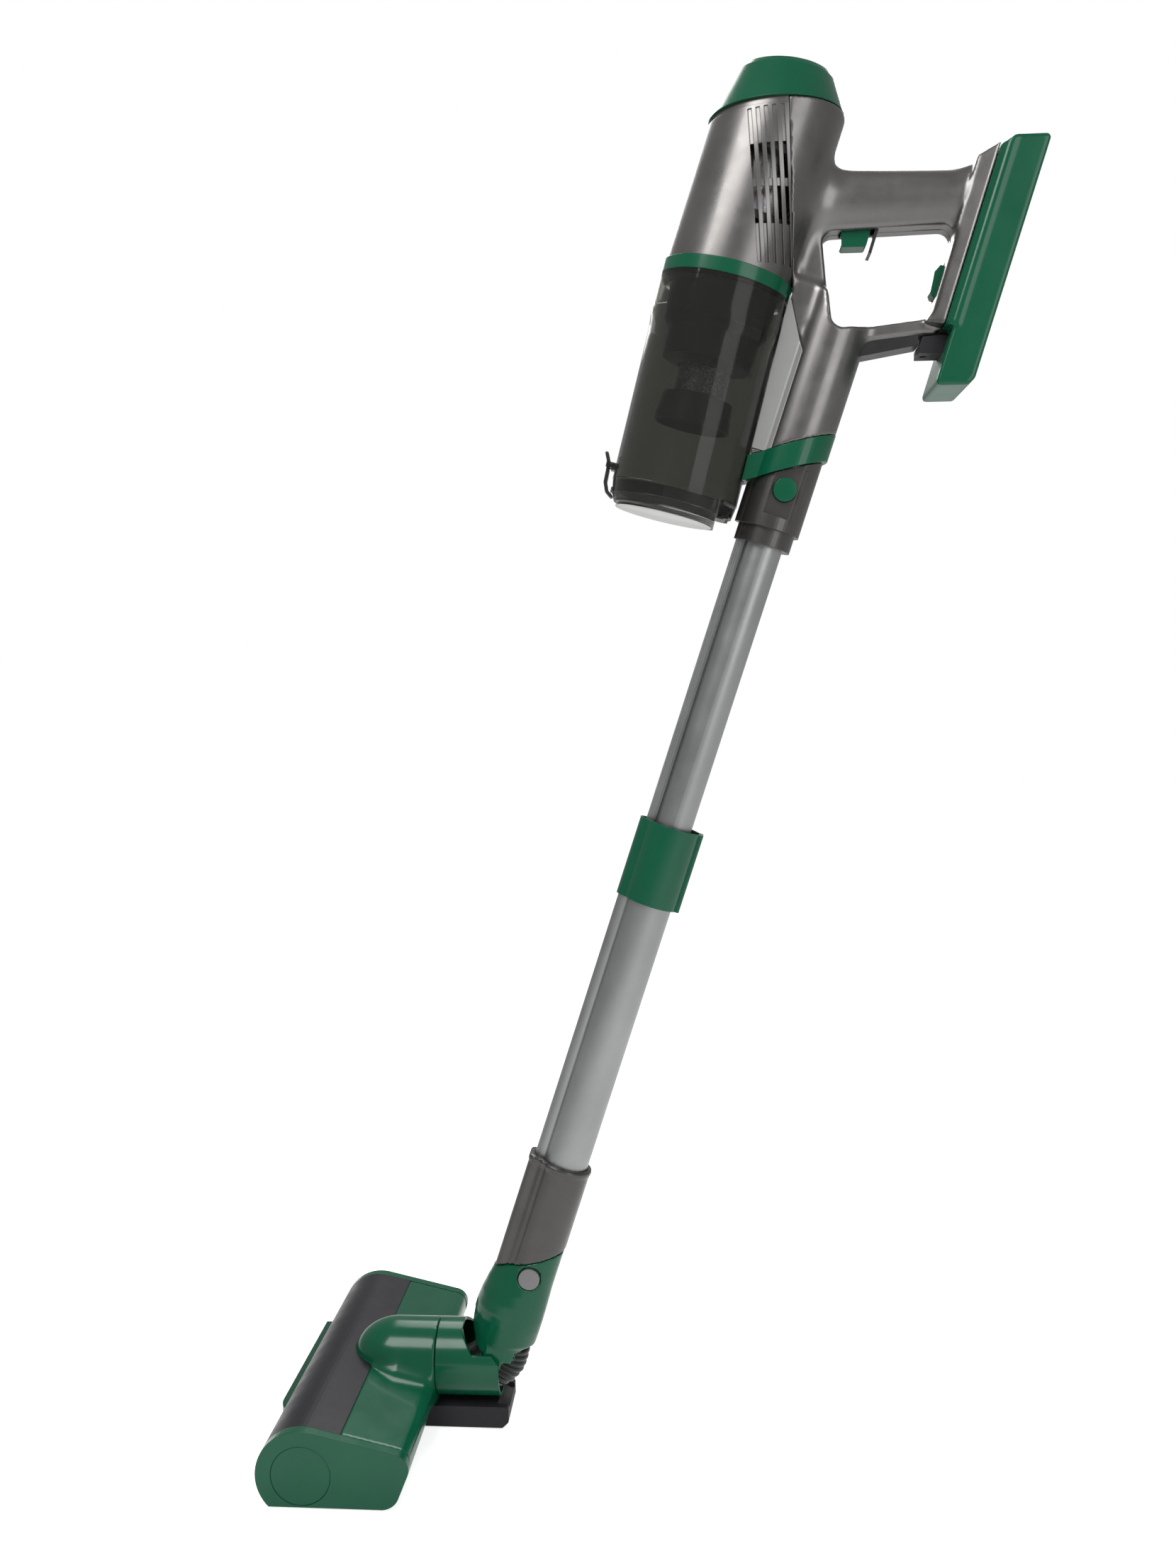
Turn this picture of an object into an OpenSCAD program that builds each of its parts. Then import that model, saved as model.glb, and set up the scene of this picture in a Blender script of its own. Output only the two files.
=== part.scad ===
/*
 Cordless stick vacuum: floor head, swivel neck, telescopic wand and hand unit.
 +Z up, -Y towards the front of the floor head, +X its right-hand end, mm.
 The origin is on the floor under the middle of the head's sole strip.
*/

/* [Pose] */
// lean of the wand back from vertical, degrees
lean = 18.05; // [0:0.05:60]
// foot of the wand axis, Y
base_y = 111.6; // [90:0.1:130]
// foot of the wand axis, Z
base_z = 60.8; // [40:0.1:80]

/* [Floor head] */
// half length of the head between the end faces
head_hw = 140.6; // [110:0.1:160]
// thickness of each end cap
end_t = 8; // [4:0.5:12]
// brush axis, Y
brush_y = -22.4; // [-30:0.1:-15]
// brush axis, Z
brush_z = 24.7; // [22:0.1:28]
// outer radius of the round front of the head
nose_r = 34; // [30:0.5:38]
// wall thickness of the head mouldings
head_wall = 2.4; // [1.5:0.1:4]
// height of the neck axis
neck_z = 49.6; // [45:0.1:55]
// outer radius of the neck and sleeve
neck_r = 30.15; // [25:0.05:35]
// Y of the seam between neck and sleeve
seam_y = 57.3; // [50:0.1:65]
// Y of the rear end of the sleeve
sleeve_end = 109; // [100:0.5:120]
// tilt pivot, Y
pivot_y = 102; // [95:0.5:110]
// tilt pivot, Z
pivot_z = 53.5; // [48:0.5:60]
// radius over the brush bristles
bristle_r = 24.1; // [20:0.1:24.4]
// radius of the brush core
core_r = 14; // [10:0.5:18]
// rows of bristle tufts round the brush
bristle_rows = 4; // [2:1:6]

/* [Wand] */
// outer radius of the upper tube
tube_r = 15; // [12:0.1:18]
// wall thickness of the tubes
tube_wall = 1.3; // [0.8:0.1:2]
// outer radius of the lower tube's round part
low_r = 18.6; // [16:0.1:22]
// Y offset of the lower tube's round part from the wand axis
low_o = 0.5; // [0:0.1:2]
// distance along the wand of the lower tube's lower end
low_s0 = 104; // [95:0.5:130]
// distance along the wand of the lower tube's upper end
low_s1 = 440; // [400:1:460]
// distance along the wand of the upper tube's lower end
up_s0 = 345; // [330:1:400]
// distance along the wand of the top connector's lower end
top_s0 = 677.5; // [650:0.5:700]

/* [Hand unit] */
// Y offset of the motor barrel from the wand axis
barrel_o = -88.9; // [-95:0.1:-80]
// outer radius of the barrel
barrel_r = 49.1; // [44:0.1:55]
// barrel wall thickness
shell_t = 2.4; // [1.6:0.1:4]
// distance along the wand of the cup ring
ring_s = 858; // [850:0.5:870]
// tilt of the dust cup against the barrel
cup_tilt = 3.8; // [0:0.1:6]
// slope of the seam under the exhaust cap
seam_tilt = 18.2; // [0:0.1:20]
// outer radius of the dust cup
cup_r = 49.4; // [44:0.1:55]
// depth of the dust cup below the ring plane
cup_depth = 162; // [140:1:180]
// outer radius of the suction duct
duct_r = 26.4; // [22:0.1:30]
// height of the grip axis
grip_z = 962.5; // [950:0.5:975]
// grip radius
grip_r = 21.8; // [17:0.1:24]
// half width of the battery
bat_hw = 35; // [25:0.5:40]
// radius of the charging jack
jack_r = 2.85; // [2:0.05:4]

/* [Preview] */
// which piece to draw

/* [Hidden] */
$fn = 64;
green = [0.05, 0.33, 0.22];
grey = [0.42, 0.42, 0.42];
dark = [0.16, 0.16, 0.17];
silver = [0.75, 0.76, 0.77];
smoke = [0.25, 0.25, 0.26, 0.6];
big = 400;
head_x = head_hw - end_t;
bat_k = tan(16.92);

// ---- frames ----
module on_wand() { translate([0, base_y, base_z]) rotate([-lean, 0, 0]) children(); }
module on_cup() { on_wand() translate([0, barrel_o - 0.2, ring_s]) rotate([cup_tilt, 0, 0]) children(); }
module on_cap() { on_wand() translate([0, barrel_o + 0.3, 990]) rotate([10.9, 0, 0]) children(); }
module on_post() { translate([0, 446.7, 875.2]) rotate([-15.1, 0, 0]) children(); }
// everything on the +Z side of a plane through [o, s] that rises by a degrees towards the back
module over(o, s, a) { translate([0, o, s]) rotate([a, 0, 0]) translate([-big, -big, 0]) cube([2 * big, 2 * big, big]); }
module under(o, s, a) { translate([0, o, s]) rotate([a, 0, 0]) translate([-big, -big, -big]) cube([2 * big, 2 * big, big]); }
// a side-view outline (Y, Z) extruded along X
module side(w) { rotate([90, 0, 90]) linear_extrude(w, center = true) children(); }
module along_x(x0, x1, r) { translate([x0, 0, 0]) rotate([0, 90, 0]) cylinder(r = r, h = x1 - x0); }
module along_y(y0, y1, r, r2 = -1) {
  translate([0, y0, 0]) rotate([-90, 0, 0]) cylinder(r1 = r, r2 = r2 < 0 ? r : r2, h = y1 - y0);
}
module box(x, y, z) { translate([-x, y[0], z[0]]) cube([2 * x, y[1] - y[0], z[1] - z[0]]); }
module round2d(r) { offset(r) offset(-r) children(); }

// ---- floor head ----
module head_2d(inset = 0) {
  offset(-inset) intersection() {
    hull() {
      translate([brush_y, brush_z]) circle(nose_r);
      translate([45.8, 31.5]) circle(12);
      translate([37, 15]) circle(14);
    }
    translate([-200, 1]) square([400, 100]);
  }
}
module panel_zone() {
  translate([-200, 17]) square([206, 60]);
}
module neck_outer(g = 0) {
  translate([0, 0, neck_z]) {
    along_y(22, seam_y, neck_r - g);
    translate([0, 22, 0]) rotate([90, 0, 0]) rotate_extrude()
      polygon([[0, -1], [neck_r - g, -1], for (i = [1 : 14]) [(neck_r - g) * cos(6 * i), (36 - g) * sin(6 * i)], [0, 36 - g]]);
  }
}
module rear_roller_zone() {
  translate([0, 103, 8.2]) along_x(-18.5, 18.5, 9);
}
module head_top_cover() {
  color(green) difference() {
    union() {
      side(2 * head_x) difference() {
        head_2d();
        head_2d(head_wall);
        translate([-200, -10]) square([400, 15]);
      }
      difference() {
        neck_outer();
        side(400) head_2d(head_wall - 0.2);
      }
      for (x = [-108, 60]) translate([x, 0, 0]) side(2.4) difference() {
        intersection() {
          head_2d(head_wall - 0.2);
          translate([-200, 8]) square([400, 100]);
        }
        translate([brush_y, brush_z]) circle(26);
        translate([34, 25]) circle(17.2);
      }
    }
    difference() {
      side(2 * head_x + 2) difference() {
        intersection() {
          head_2d(-1);
          panel_zone();
        }
        head_2d(1.5);
      }
      neck_outer();
    }
    neck_outer(3.25);
    translate([0, 0, neck_z]) along_y(40, seam_y + 1, 26.9);
    translate([0, 0, neck_z]) along_y(seam_y, seam_y + 10, neck_r + 0.4);
  }
}
module head_panel() {
  color(dark) difference() {
    side(2 * head_x - 0.2) difference() {
      intersection() {
        head_2d();
        panel_zone();
      }
      head_2d(1.5);
      translate([5.9, 0]) square([60, 100]);
    }
    neck_outer(-0.1);
  }
}
module head_base() {
  color(dark) difference() {
    intersection() {
      side(2 * head_x) difference() {
        head_2d();
        translate([-200, 5]) square([400, 100]);
      }
      translate([-head_x, -60, 0]) cube([2 * head_x, 140, 5]);
    }
    box(120, [-40, -5], [-1, 6]);
    for (x = [-100, 100]) translate([x - 5, 15.5, 0]) cube([10, 13, 6]);
    translate([-106, 20.3, 3.5]) cube([212, 3.4, 5]);
    for (x = [-118, 118]) translate([x, 40, 0]) {
      cylinder(r = 1.6, h = 8);
      cylinder(r = 3.1, h = 2.6);
    }
  }
}
module end_cap(hole) {
  difference() {
    union() {
      side(end_t) head_2d();
      side(end_t - 2) head_2d(-0.01);
    }
    translate([-end_t / 2 - 0.1, 0, 0]) side(5) head_2d(head_wall + 0.4);
    if (hole) translate([0, brush_y, brush_z]) along_x(-10, 10, 22.5);
  }
  if (!hole) translate([-end_t / 2 - 4.2, brush_y, brush_z]) difference() {
    along_x(0, 8, 7);
    along_x(-1, 6.5, 3.06);
  }
}
module end_cap_right() {
  color(green) translate([head_hw - end_t / 2, 0, 0]) end_cap(true);
}
module end_cap_left() {
  color(green) mirror([1, 0, 0]) translate([head_hw - end_t / 2, 0, 0]) end_cap(false);
}
module brush_cover() {
  color(green) translate([0, brush_y, brush_z]) difference() {
    union() {
      along_x(head_hw - 5.5, head_hw - 0.3, 22.2);
      along_x(122, head_hw - 5, 8);
    }
    along_x(110, 131, 3.06);
  }
}
module bumper_strip() {
  color(green) translate([-26, 0, 0]) difference() {
    translate([0, 0, 6]) linear_extrude(19) difference() {
      hull() {
        translate([-80, -40]) square([4, 10]);
        translate([-80, -66]) square([60, 4]);
        translate([58, -42]) circle(24);
      }
      translate([-200, -46]) square([400, 100]);
    }
    translate([26, 0, 0]) side(600) head_2d(-0.05);
    translate([0, 0, 6]) rotate([30, 0, 0]) translate([-200, -90, -30]) cube([400, 60, 30]);
  }
}
module tail_block() {
  color(dark) difference() {
    side(48) offset(2) offset(-2) polygon([[30, 1.2], [111, 1.2], [116, 6], [116, 18.4], [30, 18.4]]);
    side(100) head_2d(-0.05);
    rear_roller_zone();
    translate([0, 103, 8.2]) along_x(-22.5, 22.5, 2.56);
    translate([0, 0, neck_z]) along_y(20, 130, neck_r + 0.6);
    translate([0, 116, 30]) along_x(-18, 18, 15);
  }
}
module neck_ring() {
  color(dark) translate([0, 0, neck_z]) difference() {
    along_y(40, seam_y - 0.4, 26.85);
    along_y(39, seam_y, 25.06);
  }
}
module drive_motor() {
  color(silver) translate([0, 34, 25]) difference() {
    union() {
      along_x(-100, -30, 15);
      along_x(-104, -99, 6);
      along_x(-118.5, -103, 2);
    }
    along_x(-31.5, -20, 10);
  }
}
module drive_belt() {
  color(dark) difference() {
    side(5) hull() { translate([34, 25]) circle(7.5); translate([brush_y, brush_z]) circle(12.5); }
    side(7) hull() { translate([34, 25]) circle(6.05); translate([brush_y, brush_z]) circle(11.05); }
  }
}
module belt_place() { translate([-115.5, 0, 0]) children(); }
module motor_pulley() {
  color(silver) translate([0, 34, 25]) difference() {
    union() {
      along_x(-118.2, -112.8, 6);
      along_x(-119, -118.2, 8);
      along_x(-112.8, -112, 8);
    }
    along_x(-130, -100, 2.05);
  }
}
module brush_pulley() {
  color(silver) translate([0, brush_y, brush_z]) difference() {
    union() {
      along_x(-118.2, -112.8, 11);
      along_x(-119, -118.2, 13);
      along_x(-112.8, -112, 13);
    }
    along_x(-130, -100, 5.01);
  }
}
module brush_core() {
  color(dark) translate([0, brush_y, brush_z]) {
    difference() {
      along_x(-110.5, 118, core_r);
      for (a = [0 : 360 / bristle_rows : 359]) rotate([a, 0, 0]) for (i = [0 : 7]) rotate([12 * i, 0, 0])
        translate([-110 + 28.3 * i, -1.6, core_r - 2]) cube([28.3, 3.2, 4]);
    }
    along_x(-119.5, -110.5, 5);
    along_x(-134, -119.5, 3);
    along_x(118, 130, 3);
  }
}
module bristle_strips() {
  color([0.1, 0.1, 0.1]) translate([0, brush_y, brush_z])
    for (a = [0 : 360 / bristle_rows : 359]) rotate([a, 0, 0]) for (i = [0 : 7]) rotate([12 * i, 0, 0])
      translate([-110 + 28.3 * i, -1.4, core_r - 2]) cube([28.1, 2.8, bristle_r - core_r + 1.9]);
}
module rear_roller() {
  color([0.1, 0.1, 0.1]) translate([0, 103, 8.2]) {
    along_x(-18, 18, 8);
    along_x(-22, 22, 2.5);
  }
}
module front_rollers() {
  color([0.1, 0.1, 0.1]) {
    for (x = [-100, 100]) translate([x, 22, 5.2]) along_x(-4, 4, 5);
    translate([0, 22, 5.2]) along_x(-105, 105, 1.4);
  }
}
module sole_strips() {
  color([0.3, 0.1, 0.1]) {
    box(118, [-3, 3], [0, 1]);
    for (x = [-60, 60]) translate([x, 0, 0]) box(40, [33, 37], [0, 1]);
  }
}

// ---- neck ----
module swivel_sleeve() {
  color(green) difference() {
    translate([0, 0, neck_z]) {
      difference() {
        union() {
          along_y(seam_y + 0.3, sleeve_end, neck_r);
          along_y(42, seam_y + 4, 25);
        }
        along_y(seam_y + 3, sleeve_end + 1, 27.5);
        along_y(40, seam_y + 5, 22.6);
      }
    }
    side(100) polygon([[77.5, 95], [77.5, 76], [86.5, 62.5], [87.5, 62], [103, 62], [108, 56], [112, 52], [130, 52], [130, 95]]);
    translate([0, pivot_y, pivot_z]) along_x(-28.9, 28.9, 4.06);
  }
}
module bellows() {
  color([0.12, 0.12, 0.12]) difference() {
    bend() bellows_arc();
    difference() {
      translate([-60, 40, neck_z - 60]) cube([120, 90, 60]);
      translate([0, 0, neck_z]) along_y(39, 131, 27.2);
    }
  }
}
module bend() { translate([0, 74.3, 77.1]) rotate([90, 0, 90]) rotate([0, 0, -90]) children(); }
module bellows_arc() {
  // stacked convolutions along a bend of 71.9 degrees
  n = 11;
  for (i = [0 : n - 1]) rotate([0, 0, i * 71.9 / n]) rotate_extrude(angle = 71.9 / n + (i < n - 1 ? 0.3 : 0))
    translate([38.5, 0]) difference() {
      circle(i % 2 == 0 ? 19.6 : 18.2);
      circle(i % 2 == 0 ? 17.6 : 16.2);
    }
}

// ---- elbow ----
module eight(r, o, rl, ol) {
  // round tube with a small rail lobe in front, filleted together
  offset(-1.4) offset(1.4) {
    translate([0, o]) circle(r);
    translate([0, ol]) circle(rl);
  }
}
module elbow_outer(g = 0) {
  difference() {
    union() {
      translate([0, 0, 8]) linear_extrude(120) eight(22.5 - g, 0, 8.6 - g, -19.9);
      intersection() {
        translate([0, -5, 0]) rotate_extrude() polygon([[0, -12 + g], [24.3 - g, -12 + g], [24.3 - g, 3], [25.6 - g, 9],
          [27.2 - g, 16], [28.6 - g, 24], [28.8 - g, 32], [27.6 - g, 42], [25 - g, 52], [20, 64], [0, 64]]);
        union() {
          translate([-60, -3, -60]) cube([120, 60, 200]);
          translate([0, -3, 23]) along_x(-60, 60, 32 - g);
          translate([-60, -80, 23]) cube([120, 90, 60]);
        }
        translate([-60, -80, -60]) cube([120, 80 + 23.4 - g, 200]);
      }
    }
    over(0, 80.2, 30.5);
  }
}
module elbow_shell() {
  color(green) difference() {
    on_wand() difference() {
      union() {
        difference() {
          elbow_outer();
          difference() {
            elbow_outer(2.3);
            translate([-60, -60, 48]) cube([120, 120, 100]);
          }
          under(0, -5.4, 6);
        }
        cheeks();
      }
      translate([0, 0, -30]) cylinder(r = 17.02, h = 200);
      translate([0, 0, -60]) cylinder(r = 21, h = 106);
      translate([0, 1.3, 67.9]) along_x(17.2, 40, 8.8);
    }
    bend() rotate_extrude(angle = 73) translate([38.5, 0]) circle(20.2);
  }
}
module cheeks() {
  // two ears with pins that hang inside the sleeve
  for (m = [0, 1]) mirror([m, 0, 0]) {
    difference() {
      on_pivot() {
        along_x(21.6, 24.3, 8);
        translate([21.6, -8, 0]) cube([2.7, 16, 14]);
        along_x(24, 28.5, 4);
      }
    }
  }
}
module on_pivot() {
  translate([0, -6.86, -9.92]) children();
}
module elbow_spigot() {
  color(dark) on_wand() difference() {
    translate([0, 0, 49]) cylinder(r = 16.95, h = 54.5);
    translate([0, 0, 40]) cylinder(r = 14.8, h = 100);
    translate([0, 1.3, 67.9]) along_x(17.2, 40, 8.8);
  }
}
module elbow_button() {
  color(grey) on_wand() translate([0, 1.3, 67.9]) intersection() {
    along_x(18.8, 24.2, 8.5);
    translate([0, -1.3, 0]) sphere_cap(24.2);
  }
}
module sphere_cap(x) { translate([x - 60, 0, 0]) sphere(r = 60, $fn = 128); }

// ---- wand ----
module lower_connector() {
  color(grey) on_wand() difference() {
    intersection() {
      linear_extrude(162) eight(22.5, 0, 8.6, -19.9);
      over(0, 80.5, 30.5);
    }
    translate([0, 0, low_s0]) linear_extrude(100) eight(low_r + 0.02, low_o, 7.02, -18);
    translate([0, 0, 50]) cylinder(r = 17.25, h = 100);
    translate([0, -19.9, 60]) cylinder(r = 5, h = 60);
  }
}
module lower_tube() {
  color(silver) on_wand() translate([0, 0, low_s0]) linear_extrude(low_s1 - low_s0) difference() {
    eight(low_r, low_o, 7, -18);
    translate([0, low_o]) circle(low_r - tube_wall);
    translate([0, -18]) circle(6);
    translate([-3, -18]) square([6, 12]);
  }
}
module tube_bush() {
  color(dark) on_wand() difference() {
    union() {
      translate([0, low_o, low_s1 - 40]) cylinder(r = low_r - tube_wall - 0.05, h = 40);
      translate([0, 0, low_s1]) linear_extrude(5) eight(low_r, low_o, 7, -18);
    }
    translate([0, 0, low_s1 - 50]) cylinder(r = tube_r + 0.06, h = 100);
    translate([0, -18, low_s1 - 50]) cylinder(r = 6, h = 100);
    translate([-3.9, -22.6, low_s1 - 50]) cube([7.8, 14, 100]);
  }
}
module collar() {
  color(green) on_wand() difference() {
    translate([0, 0, 385]) linear_extrude(64) union() {
      eight(22.6, 0.9, 9.4, -17.4);
      round2d(2) translate([-9, 10]) square([18, 15]);
    }
    translate([0, 0, 380]) linear_extrude(100) eight(low_r + 0.35, low_o, 7.35, -18);
    translate([0, 0.9, 441]) cylinder(r = 20.9, h = 20);
  }
}
module upper_tube() {
  color(silver) on_wand() translate([0, 0, up_s0]) difference() {
    cylinder(r = tube_r, h = top_s0 + 57 - up_s0);
    translate([0, 0, -1]) cylinder(r = tube_r - tube_wall, h = 500);
  }
}
module rail_2d(g = 0) {
  translate([-3.6 - g, -22.1 - g]) square([7.2 + 2 * g, 5.9 + 2 * g]);
  translate([-2.3 - g, -17]) square([4.6 + 2 * g, 4]);
}
module conductor_rail() {
  color(silver) on_wand() translate([0, 0, up_s0]) linear_extrude(top_s0 + 30 - up_s0) difference() {
    rail_2d();
    circle(tube_r + 0.02);
    translate([-2.2, -20.6]) square([4.4, 3]);
    for (y = [-20.9, -19.15, -17.4]) for (m = [0, 1]) mirror([m, 0]) translate([3.2, y]) square([1, 0.9]);
  }
}
module top_outer(g) {
  translate([0, 0, top_s0]) linear_extrude(13.2) eight(20.6 + g, 0, 5.4 + g, -18.6);
  translate([0, 0, top_s0 + 13]) linear_extrude(100) eight(23.7 + g, 0, 8.6 + g, -18.9);
}
module top_connector() {
  color(dark) on_wand() difference() {
    union() {
      difference() {
        top_outer(0);
        over(0, 736.9, 30.2);
        translate([20.9, -8.8, 700]) cube([20, 21.4, 60]);
      }
      translate([0, 0, 700]) cylinder(r = 19, h = 92);
      translate([17, 12.4, 697]) cube([3.6, 2.4, 42]);
    }
    translate([0, 0, top_s0 - 1]) cylinder(r = tube_r + 0.02, h = 58.02);
    translate([0, 0, top_s0 + 50]) cylinder(r = tube_r - tube_wall, h = 100);
    translate([0, 0, top_s0 - 1]) linear_extrude(31.1) rail_2d(0.05);
    translate([0, 1.8, 720.9]) along_x(16.6, 40, 9.3);
    over(0, 762, 30.2);
    translate([0, 0, 736]) difference() {
      cylinder(r = 40, h = 60);
      translate([0, 0, -1]) cylinder(r = 19, h = 90);
      under(0, 0.7, 30.2);
    }
  }
}
module wand_button() {
  color(green) on_wand() translate([0, 1.8, 720.9]) intersection() {
    along_x(18.3, 25, 9);
    translate([0, 0, 0]) sphere_cap(25);
  }
}

// ---- hand unit shell ----
module duct_2d(g = 0) {
  offset(-3) offset(3) {
    circle(duct_r - g);
    translate([-15.5 + g, -44]) square([31 - 2 * g, 44]);
  }
}
module cup_clear(r) {
  // space swept by the dust cup when it turns
  on_cup() translate([0, 0, -190]) cylinder(r = r, h = 200);
}
module loop_frame(w) {
  side(2 * w) difference() {
    polygon([[330, 975], [352, 976], [375, 962], [470, 962], [482, 984], [499.5, 996.5],
      [499.7, 996.5], [458.7, 861.8], [454, 860], [437, 862.3], [383, 856.7], [372, 830], [345, 830]]);
    loop_hole();
  }
}
module loop_hole() {
  offset(9) offset(-9) polygon([[364.5, 921], [372, 874], [380, 865.6], [441, 871.8], [447, 876], [463.6, 937], [460, 941], [378, 938]]);
}
module hand_outer() {
  on_wand() {
    translate([0, barrel_o, 860]) cylinder(r = barrel_r, h = 150);
    translate([0, 0, 730]) linear_extrude(160) duct_2d();
  }
  loop_frame(14);
  side(46) difference() {
    polygon([[462, 962], [482, 984], [499.6, 996.5], [458.6, 861.8], [447, 861.8], [447, 876], [463.6, 937]]);
    loop_hole();
  }
  hull_plate();
  translate([0, 0, grip_z]) {
    along_y(340, 478, grip_r);
    along_y(350, 390, 31, grip_r);
  }
}
module hull_plate() {
  // flared plate that meets the battery
  side(60) polygon([[484, 984], [499.6, 996.5], [458.6, 861.8], [452.5, 861.8]]);
}
module hand_inner() {
  on_wand() translate([0, barrel_o, 800]) cylinder(r = barrel_r - shell_t, h = 300);
  duct_bore(duct_r - shell_t, 2.6);
  duct_port();
  translate([0, 0, grip_z]) along_y(375, 468, grip_r - shell_t);
}
// air path up the duct, kept clear of the finger loop by g
module duct_bore(r, g) {
  difference() {
    on_wand() translate([0, 0, 700]) cylinder(r = r, h = 170);
    side(200) offset(g) loop_hole();
  }
}
module duct_port() { on_cup() translate([-11, 30, -27]) cube([22, 50, 16]); }
module parting() { over_line(-83.8, 985.3); }
module over_line(o, s) { translate([0, o, s]) rotate([20.4, 0, 0]) translate([-big, 0, -big]) cube([2 * big, big, 2 * big]); }
module battery_channel(g) {
  translate([0, 446, 818.5]) rotate([-16.92, 0, 0]) translate([-12 - g, -8 - g, 20]) cube([24 + 2 * g, 12, 142 + g]);
}
module hand_shell() {
  difference() {
    hand_outer();
    hand_inner();
    side(200) loop_hole();
    on_wand() {
      under(0, 758.3, 30.2);
      over(-90.7, 984, seam_tilt);
    }
    cup_clear(51.8);
    on_cup() translate([0, 0, -12]) cylinder(r = 51.2, h = 18.5);
    on_wand() difference() {
      translate([0, barrel_o, 800]) cylinder(r = barrel_r + 0.01, h = 300);
      parting();
    }
    on_cup() difference() {
      translate([0, 0, 6]) cylinder(r = 60, h = 6);
      translate([0, -46, -5]) cube([200, 200, 50]);
      translate([-200, -46, -5]) cube([200, 200, 50]);
    }
    off_cone();
    battery_channel(0.4);
    on_post() translate([-7.4, -5, 13.6]) cube([14.8, 11.2, 25]);
    trigger_pocket();
    finger_slot();
    duct_trim_zone(0);
    for (p = screw_spots) translate([-big, p[0], p[1]]) along_x(0, big, 1.6);
  }
}
screw_spots = [[444, 957], [400, 966], [466, 900], [359, 905]];
module trigger_pocket() { box(8.3, [378.9, 404.8], [930, 955]); }
module finger_slot() { translate([0, 411.5, 958]) rotate([-17, 0, 0]) box(10.2, [-1.3, 1.3], [-40, 4]); }
module handle_half(sign) {
  difference() {
    intersection() {
      hand_shell();
      translate([sign > 0 ? 0 : -big, 0, 700]) cube([big, 700, 400]);
    }
    if (sign < 0) for (p = screw_spots) translate([-big, p[0], p[1]]) along_x(big - 80, big - 12, 3.2);
  }
}
module handle_right() { color(grey) handle_half(1); }
module handle_left() { color(grey) handle_half(-1); }
module housing_screws() {
  color(silver) for (p = screw_spots) translate([0, p[0], p[1]]) difference() {
    along_x(-14, -12.1, 3);
    along_x(-15, -13, 1.4, $fn = 6);
  }
}
module vent_cols(w, z0, z1) {
  on_wand() translate([0, -97.7, 974.9]) rotate([21.9, 0, 0])
    for (i = [-2 : 2]) translate([-60, 5.9 * i - w / 2, z0]) cube([120, w, z1 - z0]);
}
module barrel_shell() {
  color(grey) difference() {
    on_wand() difference() {
      translate([0, barrel_o, 850]) cylinder(r = barrel_r, h = 170);
      translate([0, barrel_o, 800]) cylinder(r = barrel_r - shell_t, h = 300);
      parting();
      over(-90.7, 984, seam_tilt);
      difference() {
        over(-90.7, 978.9, seam_tilt);
        translate([0, barrel_o, 800]) cylinder(r = barrel_r - 1.2, h = 300);
      }
    }
    on_cup() translate([0, 0, -50]) cylinder(r = 60, h = 56.1);
    off_cone();
    vent_cols(2.8, -82, -56.5);
    vent_cols(2.8, -51, -26);
    difference() {
      vent_cols(2.8, -109, 0);
      on_wand() translate([0, barrel_o, 800]) cylinder(r = barrel_r - 0.9, h = 300);
    }
  }
}
module cup_ring() {
  color(green) on_cup() difference() {
    translate([0, 0, -4.2]) cylinder(r = 50.5, h = 10.2);
    translate([0, 0, -6]) cylinder(r = 47.5, h = 20);
  }
}
module green_band() {
  color(green) on_wand() difference() {
    translate([0, 0, 700]) linear_extrude(120) duct_2d(-0.3);
    translate([0, 0, 690]) cylinder(r = 21.5, h = 200);
    over(0, 758.2, 30.2);
    under(0, 737.4, 30.2);
    rotate([lean, 0, 0]) translate([0, -base_y, -base_z]) cup_clear(50.4);
  }
}
module duct_trim_zone(g) {
  // flat facet panels on both sides of the duct, beside the cup
  for (m = [0, 1]) mirror([m, 0, 0]) on_wand() translate([15.5, 0, 0]) difference() {
    translate([-2 + g, -40 + g, 745]) cube([6, 22.4 - 2 * g, 116 - g]);
    under(-17, 758.3 - 17 * 0.58 + 2 * g, 30.2);
    translate([-10, -40, 862 - 2 * g]) rotate([-60, 0, 0]) cube([40, 100, 100]);
  }
}
module duct_trim() {
  color([0.6, 0.6, 0.6]) difference() {
    intersection() {
      duct_trim_zone(0.1);
      on_wand() translate([0, 0, 730]) linear_extrude(160) duct_2d(-0.4);
    }
    cup_clear(51.8);
  }
}
module duct_liner() {
  color(dark) difference() {
    duct_bore(21.4, 3);
    on_wand() translate([0, 0, 690]) cylinder(r = 19.35, h = 200);
    on_wand() under(0, 737.5, 30.2);
    duct_port();
  }
}
module strut_cover() {
  color(dark) difference() {
    side(22) polygon([[390, 857.3], [437, 862.15], [437, 853], [392.5, 845.5], [388, 848]]);
    on_wand() cylinder(r = 26.45, h = 950);
    side(30) polygon([[437, 862.25], [383, 856.65], [383, 890], [437, 890]]);
  }
}
module cap_cone(g, top) {
  rotate_extrude() polygon([[0, -30], [48.2 - g + 12.7, -30], [48.2 - g - 0.4245 * (top - 5), top - 5],
    [48.2 - g - 0.4245 * (top - 5) - 2.6, top - 1.4], [48.2 - g - 0.4245 * (top - 5) - 6, top], [0, top]]);
}
module off_cone() {
  on_cap() difference() {
    translate([0, 0, -12]) cylinder(r = 90, h = 70);
    rotate_extrude() polygon([[0, -30], [60.94, -30], [22.73, 60], [0, 60]]);
  }
}
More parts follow.
